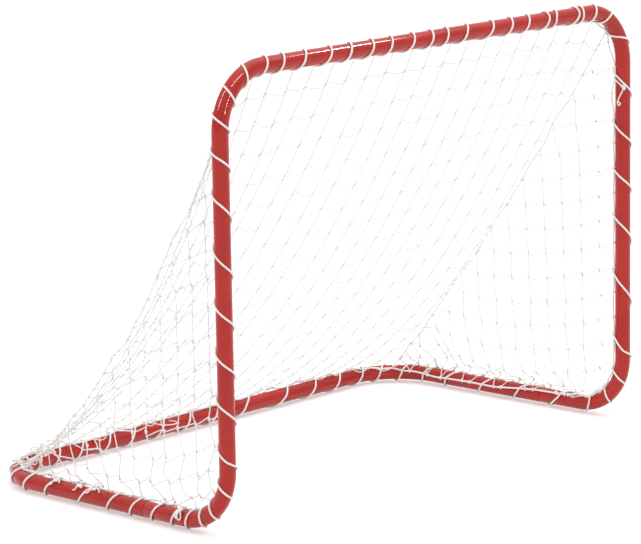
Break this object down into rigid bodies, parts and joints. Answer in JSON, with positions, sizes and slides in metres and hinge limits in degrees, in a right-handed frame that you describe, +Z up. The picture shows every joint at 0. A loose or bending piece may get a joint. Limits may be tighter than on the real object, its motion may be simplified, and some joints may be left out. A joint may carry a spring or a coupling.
{
  "type": "hockey goal net",
  "caption": "Free-standing street or ice hockey goal: bent tube frame with rounded corners, plug-in rear base and a sloping cord net laced round the tubes.",
  "frame": {"origin": "on the floor, at the centre of the goal's footprint", "axes": "+X along the crossbar towards the right post, +Y from the mouth to the rear bar, +Z up"},
  "size_m": [1.2308, 0.6926, 0.8884],
  "materials": {
    "frame_paint": "glossy red powder paint",
    "button_steel": "zinc-plated steel",
    "spring_steel": "bare spring steel",
    "border_rope": "white braided rope",
    "lacing_cord": "white braided cord",
    "net_twine": "white knotted twine"
  },
  "bodies": {
    "goal": {"front_frame": "frame_paint", "rear_base": "frame_paint", "left_button_spring": "spring_steel", "right_button_spring": "spring_steel", "mouth_border_rope": "border_rope", "base_border_rope": "border_rope", "net_back": "net_twine", "net_left_side": "net_twine", "net_right_side": "net_twine", "left_seam_cord": "net_twine", "right_seam_cord": "net_twine", "crossbar_lacing": "lacing_cord", "left_post_lacing": "lacing_cord", "right_post_lacing": "lacing_cord", "left_rail_lacing": "lacing_cord", "right_rail_lacing": "lacing_cord", "rear_bar_lacing": "lacing_cord", "left_corner_lacing": "lacing_cord", "right_corner_lacing": "lacing_cord", "post_knot": "lacing_cord", "rail_knots": "lacing_cord"},
    "left_button": {"left_snap_button": "button_steel"},
    "right_button": {"right_snap_button": "button_steel"}
  },
  "joints": [
    {"name": "left_button_press", "type": "slide", "parent": "goal", "child": "left_button", "axis": [0, 0, 1], "range_m": [0, 0.0038], "stiffness_N_per_m": 1200, "springref_m": -0.003, "deforming": ["left_button_spring"]},
    {"name": "right_button_press", "type": "slide", "parent": "goal", "child": "right_button", "axis": [0, 0, 1], "range_m": [0, 0.0038], "stiffness_N_per_m": 1200, "springref_m": -0.003, "deforming": ["right_button_spring"]}
  ]
}
